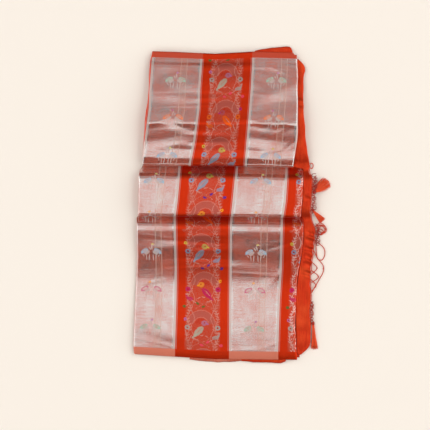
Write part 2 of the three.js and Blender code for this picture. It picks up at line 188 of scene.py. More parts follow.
def wave(value, length):
    return calc("SINE", value * (2 * math.pi / length))


def step(value, full, none):
    # 1 where value is at full, falling to 0 at none
    low, high, atLow = (full, none, 1.0) if full < none else (none, full, 0.0)
    inputs = {"Value": value, "From Min": low, "From Max": high, "To Min": atLow, "To Max": 1.0 - atLow}
    return addNode(value.tree, "MapRange", inputs, "Result", interpolation_type="SMOOTHSTEP")


def blend(factor, a, b):
    return addNode(factor.tree, "Mix", {0: factor, 6: a, 7: b}, 2, data_type="RGBA")


def combine(x, y):
    return addNode(x.tree, "CombineXYZ", {0: x, 1: y})


def speckle(vector, scale, detail=2.0, rough=0.5):
    inputs = {"Vector": vector, "Scale": scale, "Detail": detail, "Roughness": rough}
    return addNode(vector.tree, "TexNoise", inputs)


def stretched(vector, scale):
    return addNode(vector.tree, "Mapping", {"Vector": vector, "Scale": scale})


def streaks(vector, scale, detail, rough):
    return speckle(stretched(vector, scale), 1.0, detail, rough)


def farFrom(cell, x, y, turn, scale):
    # distance from a point of the cell, counted in the scale's units
    inputs = {"Vector": cell, "Location": (x, y, 0), "Rotation": (0, 0, math.radians(turn)), "Scale": scale}
    placed = addNode(cell.tree, "Mapping", inputs, vector_type="TEXTURE")
    return addNode(cell.tree, "VectorMath", {0: placed}, "Value", operation="LENGTH")


def oval(cell, x, y, rx, ry, turn=0.0):
    # a filled oval in the cell's own millimetres, soft over the last quarter
    return step(farFrom(cell, x, y, turn, (rx, ry, 1)), 0.75, 1.0)


def hoop(cell, radius, half):
    # the line of a bower's arch
    off = abs(farFrom(cell, *bower["middle"], 0, (1, bower["squash"], 1)) - radius)
    return step(off, half * 0.7, half)


def rowColours(turnNumber, colours):
    # one colour for each of the four kinds of row
    node = turnNumber.tree.nodes.new("ShaderNodeValToRGB")
    feed(node, {0: turnNumber})
    ramp = node.color_ramp
    ramp.interpolation = "CONSTANT"
    while len(ramp.elements) < len(colours):
        ramp.elements.new(0.5)
    for i, colour in enumerate(colours):
        ramp.elements[i].position = i / len(colours)
        ramp.elements[i].color = linear(*colour)
    return Value(node.outputs[0])


def linear(red, green, blue):
    def one(value):
        value /= 255
        return value / 12.92 if value <= 0.04045 else ((value + 0.055) / 1.055) ** 2.4
    return (one(red), one(green), one(blue), 1.0)


def newMaterial(name):
    material = bpy.data.materials.new(name)
    material.use_nodes = True
    return material, material.node_tree, material.node_tree.nodes["Principled BSDF"]


def addBump(shader, height, strength, distance):
    bump = addNode(height.tree, "Bump", {"Strength": strength, "Distance": distance, "Height": height})
    feed(shader, {"Normal": bump})


# The weave. s runs across the bands and t down the cloth's width, in millimetres of flat cloth.
weave = {
    "redWide": 117.0,     # a plain band with the vine
    "tissueWide": 112.0,  # a silver tissue band
    "rowPitch": 84.0,     # from one bird to the next
    "rowBelow": 54.0,     # how much of a row's cell lies below its bird's head
    "borderTop": -38.0,   # the selvedge borders start here
    "borderFoot": 1067.0,
    "pins": (183.0, 196.0),
}
silks = {
    "red": (210, 50, 12), "redDeep": (180, 30, 7), "redLight": (226, 66, 24),
    "warp": (194, 74, 42), "warpLight": (206, 94, 70), "silver": (218, 221, 220),
    # borderShaded is the top border's colour, darkened as painted shade where the cloth curves over the
    # pack's top edge
    "edging": (206, 160, 148), "border": (214, 134, 110), "borderShaded": (188, 76, 54),
    "vine": (192, 90, 72), "dome": (182, 92, 80), "stem": (206, 140, 126), "stemLight": (222, 176, 168),
    "pin": (208, 170, 146), "pale": (196, 178, 170), "hollow": (208, 176, 168),
}
# Colours of the four kinds of row, in the order of the cycle
rowSilks = {
    "body": [(176, 170, 150), (240, 92, 24), (134, 150, 168), (190, 34, 86)],
    "head": [(178, 112, 134), (176, 78, 86), (186, 160, 88), (232, 140, 52)],
    "rosette": [(170, 152, 144), (228, 96, 34), (140, 146, 168), (192, 42, 94)],
    "dot": [(176, 110, 160), (178, 46, 120), (206, 186, 74), (246, 160, 40)],
    "bud": [(232, 74, 96), (196, 80, 62), (74, 50, 140), (72, 104, 50)],
    "wing": [(150, 190, 168), (240, 118, 54), (140, 184, 208), (198, 34, 112)],
}
# x, y, half sizes, turn and silk of what is woven around the bird; y counts up from its head
besideBird = [(33.5, -10, 6.4, 6.0, 0, "rosette"), (33.5, -10, 2.2, 2.0, 0, "redDeep")]
birdShapes = [
    (-30, -47, 9.5, 12, 12, "vine"), (24, -43, 15, 2.2, 18, "vine"), (-8, -40, 14, 2.4, -14, "vine"),
    (-16.5, -28, 9.5, 3.0, 48, "body"), (-8, -18, 15.5, 7.6, 48, "body"), (-5.5, -15.5, 11, 1.0, 48, "vine"),
    (-10.5, -18.5, 10, 0.8, 48, "stem"), (4, 0, 7.6, 6.8, 0, "head"), (10.4, -1.4, 3.4, 1.9, -24, "dot"),
    (4.6, 0.8, 1.6, 1.6, 0, "redDeep"), (-1, -27, 5.2, 1.1, 12, "stem"), (9, -29, 4.2, 1.0, -28, "stem"),
    (29, -31, 8.6, 4.6, 10, "rosette"), (36, -26, 2.0, 5.4, -18, "rosette"),
    (36.5, -21.5, 3.4, 1.6, 30, "stem"), (27, -31.5, 4.4, 1.6, 18, "vine"), (-38, 8, 4.2, 4.0, 0, "dot"),
    (-38, 8, 1.4, 1.4, 0, "redDeep"), (12, -41, 4.8, 2.8, 30, "bud"), (-1.5, -48, 5.0, 2.5, -16, "bud"),
    (41, -48, 4.4, 3.6, 20, "bud"),
    (-36, -22, 1.1, 9, 16, "stem"), (-26, -32, 1.0, 8, -24, "stem"), (20, -37, 7, 1.0, 32, "stem"),
    (33, -44, 8, 1.0, -38, "stem"), (-14, -36, 8, 0.9, -20, "stem"),
]
# A pair of cranes: wings and legs, alike on both sides, then the neck and crest between them
wingPair = [
    (14.5, 0, 9.8, 5.2, -28, "wing"), (13.5, 1.0, 6.4, 2.4, -28, "pale"), (9, -3.4, 7.4, 4.2, -34, "pale"),
    (15, 1.8, 7.4, 0.55, -24, "warp"), (13.6, -1.6, 7.0, 0.55, -32, "warp"),
    (20, -3.4, 4.4, 1.0, -50, "wing"),
    (8.4, 4.6, 3.4, 0.9, 40, "wing"), (4.5, -14, 1.2, 8.6, 4, "pale"),
    (10.5, -13.4, 1.1, 7.6, -6, "pale"), (17, -9.5, 1.0, 4.6, -34, "pale"),
]
craneTop = [
    (1.5, 8.5, 1.6, 6.2, 14, "pale"), (3.4, 15.4, 3.4, 2.6, 0, "dot"), (-2.4, 6, 1.4, 4.6, 30, "pale"),
    (7.4, 14.4, 3.0, 0.9, -16, "pin"),
]


# The arch around each bird, in the bird's cell: radius and half width of its band and of its rims
bower = {
    "middle": (-3, -4),
    "squash": 1.04,
    "band": (23.5, 7.6),
    "rims": [(31, 1.0), (16.4, 0.9)],
    "inside": 16,
}
# The vine: its column, its stems' distances from the middle, their sway and its length, their leaves
vine = {
    "column": (34.0, 41.0), "outer": 31.0, "inner": 21.5, "sway": 3.4, "swayLong": 42,
    "leafPitch": 6.0, "leafOut": 2.6, "leaf": (4.2, 1.3, 35), "farFrom": (232.0, 228.0),
}
# How unevenly the silver weft covers the warp: scales across and along, detail, roughness, middle, share
coverNoises = [
    ((0.55, 0.03, 1), 3.0, 0.65, 0.0, 0.18), ((0.06, 0.7, 1), 2.0, 0.6, 0.0, 0.4),
    ((0.42, 0.75, 1), 4.0, 0.75, 0.0, 0.26), ((0.03, 0.022, 1), 2.0, 0.5, 0.5, 0.42),
    ((0.024, 0.34, 1), 3.0, 0.62, 0.5, 0.28),
]
# How strongly each woven figure covers what lies below it
shares = {
    "lace": 0.52, "band": 0.85, "inside": 0.35, "rims": 0.5, "branch": 0.8, "leafy": 0.4, "figure": 0.86,
    "lines": 0.45, "strip": 0.62, "golden": 0.12, "pins": 0.3,
    "paleCrane": 0.5, "crane": 0.66, "hollow": 0.75,
}
tissueLook = {
    "cover": 0.095,
    "edgeCover": 0.22,        # more silver beside the red bands
    "threadPitch": (0.62, 0.7),
    "threadShare": 0.2,
    "silverFrom": (0.52, 0.454),
    "rough": 0.33,
    "silverSmooth": 0.18,     # how much smoother the silver is
    "silkGloss": 0.8,         # the red silk's soft gloss in its own colour
    "threadRelief": 0.0032,
    "crinkleRelief": 0.085,
    "fineRelief": 0.008,
    "figureRelief": 0.1,
}


def clothMaterial():
    material, tree, shader = newMaterial("tissueCloth")
    # the place in the flat cloth, in millimetres
    uv = addNode(tree, "UVMap", {}, uv_map="cloth")
    flat = addNode(tree, "VectorMath", {0: uv, "Scale": 1000.0}, operation="SCALE")
    s = addNode(tree, "SeparateXYZ", {0: flat})
    t = addNode(tree, "SeparateXYZ", {0: flat}, 1)

    period = weave["redWide"] + weave["tissueWide"]
    redHalf = weave["redWide"] / 2
    inPeriod = s % period
    fromVine = inPeriod - redHalf
    away = period / 2 - abs(abs(fromVine) - period / 2)
    tissue = step(away, redHalf + 0.5, redHalf - 0.3)

    # which row of birds, and the place inside its cell
    number = calc("FLOOR", (t + (weave["rowPitch"] - weave["rowBelow"])) / weave["rowPitch"])
    kind = (number % 4.0 + 0.5) / 4.0
    side = 1.0 - number % 2.0 * 2.0
    across = fromVine * side + (speckle(flat, 0.34) - 0.5) * 5.0
    up = number * weave["rowPitch"] - t + (speckle(stretched(flat, (-1, 1, 1)), 0.3) - 0.5) * 4.0
    bird = combine(across, up)
    paired = combine(abs(across), up)
    palette = {name: rowColours(kind, colours) for name, colours in rowSilks.items()}
    palette.update({name: linear(*colour) for name, colour in silks.items()})

    # ground silk, with long slubs and soft clouds
    slub = streaks(flat, (0.9, 0.018, 1), 3.0, 0.6)
    ground = blend(slub * 0.5, palette["red"], palette["redDeep"])
    ground = blend(speckle(flat, 0.02, 3.0, 0.55) * 0.22, ground, palette["redLight"])

    # the vine column: lace ground, then the bower
    column = step(away, *vine["column"])
    lace = column * (step(speckle(flat, 0.42, 2.0, 0.6), 0.54, 0.42) + 0.35)
    colour = blend(lace * shares["lace"], ground, palette["vine"])
    upper = step(up, 1.0, -3.0)
    worn = step(streaks(flat, (1.1, 0.5, 1), 2.0, 0.6), 0.46, 0.3)
    colour = blend(hoop(bird, *bower["band"]) * upper * worn * shares["band"], colour, palette["dome"])
    inside = oval(bird, *bower["middle"], bower["inside"], bower["inside"])
    colour = blend(inside * upper * shares["inside"], colour, palette["redDeep"])
    rims = most(*(hoop(bird, radius, half) for radius, half in bower["rims"]))
    colour = blend(rims * worn * upper * shares["rims"], colour, palette["stem"])

    # swaying stems with small leaves, and a branch below each bird
    bend = wave(up, vine["swayLong"]) * vine["sway"]
    outer = abs(across) - (bend + vine["outer"])
    inner = abs(across) - (vine["inner"] - bend)
    stems = most(step(abs(outer), 0.5, 1.1), step(abs(inner), 0.4, 0.9))
    leaf = combine(abs(outer) - vine["leafOut"], up % vine["leafPitch"] - vine["leafPitch"] / 2)
    tufts = step(speckle(flat, 0.12, 1.0), 0.5, 0.38)
    growth = most(stems, oval(leaf, 0, 0, *vine["leaf"]) * tufts)
    branch = abs(abs(across + 3.0) - (wave(up, 19) * 7.0 + 11.0))
    branch = step(branch, 0.4, 1.0) * step(up, -31.0, -24.0)
    growth = most(growth, branch * shares["branch"]) * worn
    # the next vine, at the cloth's far side, is woven in a brighter thread
    farVine = step(s, *vine["farFrom"])
    thread = blend(farVine, palette["stem"], palette["stemLight"])
    colour = blend(growth * column * (farVine * 0.2 + 0.8), colour, thread)

    # birds and flowers
    woven = growth * 0.4
    for x, y, rx, ry, turn, silk in besideBird:
        colour = blend(oval(paired, x, y, rx, ry, turn), colour, palette[silk])
    for x, y, rx, ry, turn, silk in birdShapes:
        mask = oval(bird, x, y, rx, ry, turn)
        share = shares["leafy"] if silk == "vine" else shares["figure"]
        colour = blend(mask * share, colour, palette[silk])
        if rx * ry > 20:
            woven = most(woven, mask)
    lines = step(abs(away - (redHalf - 2.2)), 0.5, 1.1)
    colour = blend(lines * shares["lines"], colour, palette["edging"])

    # the tissue: silver weft over red warp, seen as fine threads
    weft = wave(s, tissueLook["threadPitch"][0])
    warp = wave(t, tissueLook["threadPitch"][1])
    cover = step(away, redHalf + 2.0, redHalf + 11.0) * tissueLook["edgeCover"] + tissueLook["cover"]
    for scale, detail, rough, middle, share in coverNoises:
        cover = cover + (streaks(flat, scale, detail, rough) - middle) * share
    silver = step(weft * tissueLook["threadShare"] + cover, *tissueLook["silverFrom"])
    tissueColour = blend(silver, blend(slub, palette["warp"], palette["warpLight"]), palette["silver"])
    strip = step(away, redHalf + 4.8, redHalf + 5.8)
    tissueColour = blend(strip * shares["strip"], tissueColour, palette["edging"])
    golden = step(abs(inPeriod - sum(weave["pins"]) / 2), 5.4, 6.6)
    tissueColour = blend(golden * shares["golden"], tissueColour, palette["pin"])
    hidden = most(*(step(abs(inPeriod - pin), 0.5, 1.3) for pin in weave["pins"])) * shares["pins"]
    tissueColour = blend(hidden, tissueColour, palette["pin"])

    # cranes on the tissue; hidden is where silk or a pin line hides the metal
    craneAcross = inPeriod - (weave["redWide"] + weave["tissueWide"] / 2)
    craneUp = up + 11.0
    cranePair = combine(abs(craneAcross), craneUp)
    for cell, shapes in ((cranePair, wingPair), (combine(craneAcross * side, craneUp), craneTop)):
        for x, y, rx, ry, turn, silk in shapes:
            share = shares["paleCrane"] if silk == "pale" else shares["crane"]
            mask = oval(cell, x, y, rx, ry, turn) * share
            tissueColour = blend(mask, tissueColour, palette[silk])
            hidden = most(hidden, mask)
    # the last kind of row has its wings woven as outlines
    hollow = oval(cranePair, 14.2, 0.2, 7.4, 3.2, -28) * step(kind, 0.8, 0.7)
    tissueColour = blend(hollow * shares["hollow"], tissueColour, palette["hollow"])

    # selvedge borders at both ends of the cloth's width
    border = most(step(t, weave["borderTop"] - 1.0, weave["borderTop"]),
                  step(t, weave["borderFoot"] + 1.0, weave["borderFoot"]))
    # the top border takes the darker colour: painted shade where the cloth curves over the pack's top edge
    ends = blend(step(t, 10.0, 20.0), palette["border"], palette["borderShaded"])
    colour = blend(tissue, colour, tissueColour)
    colour = blend(border, colour, blend(tissue * 0.75, ground, ends))

    # metal only where silver thread lies on top
    metal = tissue * silver * calc("SUBTRACT", 1.0, hidden, clamp=True)
    metal = metal * (1.0 - border * 0.7) * (1.0 - strip * 0.5)
    feed(shader, {
        "Base Color": colour,
        "Metallic": most(metal, (1.0 - tissue) * tissueLook["silkGloss"]),
        "Roughness": tissueLook["rough"] - metal * tissueLook["silverSmooth"],
        "Specular IOR Level": 0.18,
        "Sheen Weight": 0.04,
        "Sheen Roughness": 0.4,
    })

    # relief: threads, crinkle and the raised woven figures
    relief = (weft + warp) * tissueLook["threadRelief"]
    relief = relief + streaks(flat, (0.02, 0.26, 1), 3.0, 0.6) * tissueLook["crinkleRelief"]
    relief = relief + speckle(flat, 0.5, 2.0, 0.6) * tissueLook["fineRelief"]
    relief = relief + woven * tissueLook["figureRelief"]
    addBump(shader, relief, 0.8, 0.001)
    return material


def objectPlace(tree):
    # the place in the object's own metres
    return addNode(tree, "TexCoord", {}, "Object")


def silkMaterial(name, main, deep, light):
    material, tree, shader = newMaterial(name)
    coords = objectPlace(tree)
    slub = streaks(coords, (900, 26, 400), 3.0, 0.6)
    cloud = speckle(coords, 24.0, 3.0, 0.55)
    colour = blend(step(slub, 0.75, 0.25), linear(*deep), linear(*main))
    colour = blend(step(cloud, 0.8, 0.4) * 0.4, colour, linear(*light))
    feed(shader, {"Base Color": colour, "Roughness": slub * 0.14 + 0.33, "Metallic": 0.6,
                  "Sheen Weight": 0.05, "Specular IOR Level": 0.2})
    relief = streaks(coords, (1500, 60, 300), 2.0, 0.5) * 0.16
    relief = relief + streaks(coords, (60, 170, 60), 3.0, 0.6) * 0.5
    addBump(shader, relief, 0.7, 0.001)
    return material


def cordMaterial(name, main, deep):
    material, tree, shader = newMaterial(name)
    coords = objectPlace(tree)
    fibre = speckle(coords, 1400.0, 2.0, 0.6)
    colour = blend(step(fibre, 0.65, 0.35), linear(*deep), linear(*main))
    colour = blend(step(speckle(coords, 60.0), 0.7, 0.45) * 0.35, colour, linear(*deep))
    feed(shader, {"Base Color": colour, "Roughness": 0.6, "Metallic": 0.2, "Sheen Weight": 0.08})
    addBump(shader, fibre, 0.5, 0.0003)
    return material


materials = {
    "cloth": clothMaterial(),
    "plainSilk": silkMaterial("plainSilk", (214, 62, 20), (190, 38, 10), (232, 92, 42)),
    "foldEdges": silkMaterial("foldEdges", (204, 52, 22), (164, 30, 10), (220, 104, 74)),
    "borderSilk": silkMaterial("borderSilk", (214, 116, 92), (194, 72, 44), (230, 162, 140)),
    "fringeCord": cordMaterial("fringeCord", (230, 78, 34), (190, 48, 20)),
    "curlCord": cordMaterial("curlCord", (194, 62, 46), (136, 26, 20)),
    "tasselSilk": cordMaterial("tasselSilk", (255, 100, 34), (232, 68, 20)),
    "knotSilk": cordMaterial("knotSilk", (206, 50, 22), (150, 26, 12)),
}
print("materials")

# Shape tables. Columns: y, height of the surface, left fold, right fold
faces = {
    "palluUpper": {
        "node": "pallu_upper_fold",
        "rows": [
            (361, 12.6, -138, 172), (350, 13.4, -140.5, 180.6), (342, 14.4, -143, 181.8),
            (328, 18.2, -144, 181.9), (320, 19.4, -144.4, 181.9), (300, 22.2, -145, 181.9),
            (290, 23.4, -145.3, 181.9), (272, 25.1, -146, 181.9), (262, 26.1, -147.1, 181.9),
            (250, 27.5, -148.5, 181.9), (228, 30.9, -151.6, 181.9), (214, 33.2, -152.9, 181.9),
            (206, 34.55, -153.7, 181.9), (202, 35.05, -154, 181.9), (193, 34.1, -154.5, 181.9),
            (186, 33.35, -155.1, 181.7), (175, 32.05, -155.9, 181.2),
            (163, 30.4, -156.6, 180), (155, 29.5, -156.9, 178.8), (148, 28.9, -157.1, 177.7),
            (141, 28.55, -157.5, 176.7), (134, 28.5, -158, 175.6), (128, 28.4, -158.7, 174.5),
            (125, 28.2, -159, 173.9), (121, 27.6, -159.5, 173.2), (117, 26.8, -159.9, 172.6),
            (113.5, 25.9, -160.3, 172), (111.6, 25.3, -160.4, 171.9), (110, 24.7, -160.4, 171.8),
        ],
        # the round ledge where the cloth turns back under itself
        "nose": {"y": 109.6, "z": 17.6, "radius": 6.8, "reach": 2.2, "back": 9,
                 "left": -160.4, "right": 171.8},
        # y, then x of the red band's left edge, its right edge and the next tissue band's right edge
        "bands": [
            (361, -26, 82, 192), (337, -27.7, 81.4, 192), (277, -32.1, 78, 189), (233, -33.7, 74.5, 186),
            (165, -42.5, 69, 181), (112, -52.8, 64.7, 177),
        ],
        "anchor": (143, 168),  # a bird's head at this y has this t
    },
    "palluMiddle": {
        "node": "pallu_middle_fold",
        "rows": [
            (119, 8.6, -158, 169), (109.5, 8.8, -159, 170), (106.5, 9.6, -161, 189), (102, 12.8, -164.5, 193),
            (96, 19.4, -167, 193.6), (90, 25, -167.4, 193.8), (82, 28.4, -168, 193.8),
            (70, 29.3, -168, 193.2),
            (45, 29.4, -168.2, 192.4), (25, 29.3, -168.6, 190.8), (14, 29.2, -169.2, 189.6),
            (8, 29.15, -169.6, 189), (3, 29.05, -169.7, 188.8), (0.6, 28.85, -169.8, 188.6),
            (-0.6, 28.5, -169.8, 188.6), (-1.4, 28.05, -169.8, 188.6),
        ],
        "nose": {"y": -1.8, "z": 19.1, "radius": 8.6, "reach": 1.6, "back": 10,
                 "left": -169.8, "right": 188.6},
        "bands": [(106, -74.8, 45.8, 160.4), (33, -81.4, 38.3, 155.8), (-4, -86, 34.4, 150)],
        "anchor": (86, 504),
    },
    "palluLower": {
        "node": "pallu_lower_fold",
        "rows": [
            (9, 8.8, -167, 185), (-1.5, 9, -168, 187), (-5, 9.8, -172.6, 192.5), (-10, 12.8, -173, 194.4),
            (-16, 16.6, -173, 194.7), (-23, 19, -173, 194.7), (-32, 19.4, -172.8, 194.7),
            (-55, 17.2, -172.4, 194), (-80, 14.8, -171.8, 191), (-101, 12.7, -171.8, 187.4),
            (-126, 10.4, -173, 183.4), (-146, 9.2, -174, 181.4), (-165, 9, -174.8, 179.8),
            (-205, 10.2, -176.4, 178),
            (-240, 11.4, -178, 177.6), (-285, 11.6, -179.8, 179), (-301, 11.5, -179.6, 180.4),
            (-309, 11, -179.2, 181), (-314, 9.9, -178, 180.6),
        ],
        "nose": None,
        "bands": [
            (-4, -86, 33.4, 150), (-22, -85.8, 32.2, 149.6), (-119, -83.6, 31.7, 147.4),
            (-185, -84.5, 31.2, 143), (-299, -88, 30.8, 139.3),
        ],
        "anchor": (-69.3, 840),
    },
}
cloth = {
    "thick": 0.5,         # the shell that stands for one leaf of cloth
    "roll": 2.6,          # radius of the side folds
    "flap": 14.0,         # what is turned back below them
    "turns": 4,           # what both rolls add to the flat width
    "across": 116,        # steps across the face
    "along": 2.4,         # millimetres between sections
    "ragged": 0.9,        # how unevenly the sides run
    "softShare": 0.5,     # shares of the heights in the two tables of folds and creases
    "creaseShare": 0.28,
    "liftFrom": 12,       # soft folds fade out below this height
    # the cloth's own unevenness: millimetres across and along, shift, height
    "unevenness": [(46, 34, 0, 0.1), (20, 9, 4, 0.03)],
}
# Shift in y across the pack: y, then the shift at five places from left to right
askew = [
    (361, 1, -2, -6, -1, -4), (300, 0, -1, -3, -1, -3), (110, 1, 0, 0, -1, -4), (-3, 1, 0, 0, -1, -3),
    (-240, 3, 1, -2, -3, -3), (-314, 8, 2, -3, -4, -5),
]
askewPlaces = [-180, -90, 0, 90, 180]
# The large soft folds of the pack: x, y, turn, half length, half width, height
softFolds = [
    (-118, 300, 18, 46, 19, -2.6), (128, 306, -14, 44, 19, -2.6), (-84, 262, -12, 52, 18, 2.2),
    (125, 268, 24, 55, 18, 2.4), (70, 318, 4, 90, 15, -1.5), (-90, 292, -10, 60, 14, 1.3),
    (-60, 178, 8, 70, 13, -1.4), (105, 172, -6, 55, 13, -1.3), (-100, -72, 6, 60, 14, 1.4),
    (55, -96, -5, 85, 14, -1.2), (120, -150, 38, 40, 13, 1.1), (-110, -262, -16, 60, 14, 1.0),
]
# Creases, given in the same columns: shallow ridges and troughs of uneven length and depth
creases = [
    (-70, 331, 3, 60, 3.2, 0.5), (60, 338, -3, 80, 3.5, -0.55), (135, 322, -22, 34, 3.0, 0.6),
    (-100, 268, 2, 48, 3.0, -0.6), (40, 271, -4, 110, 3.4, 0.7), (120, 247, 5, 52, 3.2, -0.6),
    (15, 243, 2, 150, 1.5, 0.9), (-110, 214, -6, 40, 3.2, 0.6), (80, 205, 3, 70, 3.6, -0.55),
    (150, 190, 30, 26, 3.4, 0.7), (-95, 160, 8, 44, 3.2, -0.6), (15, 150, -2, 90, 3.2, 0.5),
    (125, 141, 10, 46, 3.0, 0.7), (160, 152, 40, 22, 3.2, -0.7), (-130, 138, -14, 26, 3.0, 0.6),
    (-40, 66, 2, 100, 3.0, -0.45), (110, 58, -3, 62, 3.4, 0.5), (-120, 36, 6, 40, 3.0, 0.5),
    (40, 24, 1, 110, 3.0, -0.45), (160, 30, 24, 26, 3.0, 0.6), (-10, -28, 1, 130, 3.4, 0.4),
    (170, -52, 62, 30, 4.0, 1.0), (178, -84, 70, 26, 3.4, -0.9), (140, -66, 16, 44, 3.6, -0.7),
    (-130, -48, -6, 40, 3.4, 0.6), (-60, -112, 4, 80, 3.4, -0.55), (80, -128, -3, 70, 3.0, 0.5),
    (150, -118, 48, 34, 3.6, 0.8), (-140, -150, 12, 34, 3.0, 0.5), (10, -168, 2, 120, 3.0, -0.4),
    (110, -196, -8, 50, 3.4, 0.45), (-80, -214, 3, 80, 3.2, 0.4), (60, -246, 2, 100, 3.2, -0.4),
    (-27, -17, 0, 44, 4.0, -1.6), (-24, -46, 1, 46, 5.0, 2.4), (-30, -60, -2, 44, 4.4, -2.2),
    (-22, -78, 2, 42, 4.6, 2.2), (-30, -96, -1, 44, 4.4, -2.0), (-24, -114, 2, 46, 4.6, 1.8),
    (-20, 176, -2, 44, 5.0, 1.8), (-14, 160, 2, 42, 4.6, -1.8), (-16, 258, 3, 40, 5.0, 1.8),
    (-122, 147, 11, 46, 9.0, 2.4), (-66, 141, -9, 34, 9.0, -2.2), (98, 149, -9, 42, 9.0, 2.4),
    (150, 139, 12, 32, 9.0, -2.2), (-96, 122, 6, 30, 6.0, 1.2), (-140, 118, -8, 22, 6.0, -1.2),
    (-128, 204, 24, 24, 5.0, 1.3), (-92, 201, -20, 22, 5.0, -1.3), (-62, 203, 28, 18, 5.0, 1.2),
    (92, 204, -24, 24, 5.0, 1.3), (124, 201, 22, 20, 5.0, -1.3), (160, 203, -28, 18, 5.0, 1.2),
    (112, 121, -6, 34, 6.0, 1.3), (156, 124, 9, 20, 6.0, -1.2), (-120, 92, 7, 30, 6.0, 1.6),
    (96, 94, -6, 40, 6.0, -1.5), (-126, 208, 9, 46, 9.0, 2.4), (-84, 197, -12, 34, 9.0, -2.4),
    (104, 194, -8, 44, 10.0, -2.6),
    (152, 209, 14, 36, 9.0, 3.0), (78, 210, 6, 26, 8.0, 2.0), (-120, -286, -10, 46, 3.0, 0.5),
    (130, -280, 20, 36, 3.4, 0.5), (20, -296, 3, 80, 3.0, 0.45),
]


def tableAt(rows, y):
    # linear reading of a table that runs down in y
    if y >= rows[0][0]:
        return rows[0]
    for above, below in zip(rows, rows[1:]):
        if y >= below[0]:
            share = (above[0] - y) / (above[0] - below[0])
            return tuple(a + share * (b - a) for a, b in zip(above, below))
    return rows[-1]


def ridge(item, x, y):
    cx, cy, turn, long, wide, high = item
    c, s = math.cos(math.radians(turn)), math.sin(math.radians(turn))
    along = ((x - cx) * c + (y - cy) * s) / long
    across = ((y - cy) * c - (x - cx) * s) / wide
    reach = along * along + across * across
    return high * math.exp(-reach) if reach < 12 else 0.0


def uneven(x, y, z):
    return noise.noise(Vector((x, y, z)))


def laid(x, y, z):
    # the pack's skew and its large soft folds
    row = tableAt(askew, y)
    shift = float(np.interp(x, askewPlaces, row[1:]))
    lift = cloth["softShare"] * sum(ridge(item, x, y) for item in softFolds)
    return x, y + shift, z + lift * min(max(z / cloth["liftFrom"], 0), 1)


def between(a, b, ta, tb, t):
    return a * (tb - t) / (tb - ta) + b * (t - ta) / (tb - ta)


def arcLengths(points):
    return np.concatenate([[0], np.cumsum(np.linalg.norm(np.diff(points, axis=0), axis=1))])


def smoothLine(points, spacing):
    # a curve through the points, read at even steps along the length of its first two columns
    pts = np.array(points, float)
    padded = np.vstack([2 * pts[0] - pts[1], pts, 2 * pts[-1] - pts[-2]])
    fine = []
    for i in range(1, len(padded) - 2):
        p0, p1, p2, p3 = padded[i - 1:i + 3]
        knots = [0.0]
        for a, b in ((p0, p1), (p1, p2), (p2, p3)):
            knots.append(knots[-1] + max(np.linalg.norm((b - a)[:2]), 1e-6) ** 0.5)
        t0, t1, t2, t3 = knots
        for t in np.linspace(t1, t2, 12, endpoint=False):
            a1 = between(p0, p1, t0, t1, t)
            a2 = between(p1, p2, t1, t2, t)
            a3 = between(p2, p3, t2, t3, t)
            b1 = between(a1, a2, t0, t2, t)
            b2 = between(a2, a3, t1, t3, t)
            fine.append(between(b1, b2, t1, t2, t))
    fine.append(pts[-1])
    fine = np.array(fine)
    length = arcLengths(fine[:, :2])
    steps = max(int(round(length[-1] / spacing)), 2)
    at = np.linspace(0, length[-1], steps + 1)
    return at, np.stack([np.interp(at, length, fine[:, k]) for k in range(fine.shape[1])], axis=1)


def surfaceLine(face):
    points = [list(row) for row in face["rows"]]
    nose = face["nose"]
    if nose:
        noseSteps = 8
        sides = [nose["left"], nose["right"]]
        for i in range(noseSteps + 1):
            angle = math.pi / 2 + math.pi * i / noseSteps
            points.append([nose["y"] + nose["reach"] * math.cos(angle),
                           nose["z"] + nose["radius"] * math.sin(angle)] + sides)
        points.append([nose["y"] + nose["back"], nose["z"] - nose["radius"]] + sides)
    return smoothLine(points, cloth["along"])


def foldSection(left, right, roll, flap, across, foldLeft=True):
    # x and depth across a leaf with turned sides, with the flat distance that x unrolls to
    arcSteps, flapSteps = 8, 5
    arc = math.pi * roll

    def turned(centre, side):
        out = []
        for i in range(arcSteps + 1):
            angle = math.pi / 2 - math.pi * i / arcSteps
            out.append((centre + side * roll * math.cos(angle), roll - roll * math.sin(angle),
                        centre + side * arc * i / arcSteps))
        for i in range(1, flapSteps + 1):
            back = flap * i / flapSteps
            out.append((centre - side * back, 2 * roll, centre + side * (arc + back)))
        return out

    start, end = (left + roll if foldLeft else left), right - roll
    out = turned(start, -1)[::-1] if foldLeft else [(left, 0, left)]
    for i in range(1, across):
        x = start + (end - start) * i / across
        out.append((x, 0, x))
    return out + turned(end, 1)


def meshFrom(name, verts, polygons, material, uvs=None):
    mesh = bpy.data.meshes.new(name)
    mesh.from_pydata(verts, [], polygons)
    if uvs is not None:
        layer = mesh.uv_layers.new(name="cloth")
        places = np.array([uvs[loop.vertex_index] for loop in mesh.loops], dtype=np.float32)
        layer.data.foreach_set("uv", places.ravel())
    mesh.materials.append(material)
    return putObject(name, mesh)


def only(item):
    bpy.ops.object.select_all(action="DESELECT")
    item.select_set(True)
    bpy.context.view_layer.objects.active = item


def finishPiece(item, *nodes, slot=None):
    only(item)
    bpy.ops.object.mode_set(mode="EDIT")
    bpy.ops.mesh.select_all(action="SELECT")
    bpy.ops.mesh.normals_make_consistent(inside=False)
    bpy.ops.object.mode_set(mode="OBJECT")
    bpy.ops.object.shade_smooth()
    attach(item, "root")
    if nodes:
        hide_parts(*nodes)
    return item


def finishLeaf(item):
    # a leaf of cloth gets its thickness below the surface
    finishPiece(item)
    modifier = item.modifiers.new("cloth", "SOLIDIFY")
    modifier.thickness = cloth["thick"] / 1000
    modifier.offset = -1
    only(item)
    bpy.ops.object.modifier_apply(modifier=modifier.name)


def gridFaces(rows, columns):
    return [(r * columns + c, r * columns + c + 1, (r + 1) * columns + c + 1, (r + 1) * columns + c)
            for r in range(rows - 1) for c in range(columns - 1)]


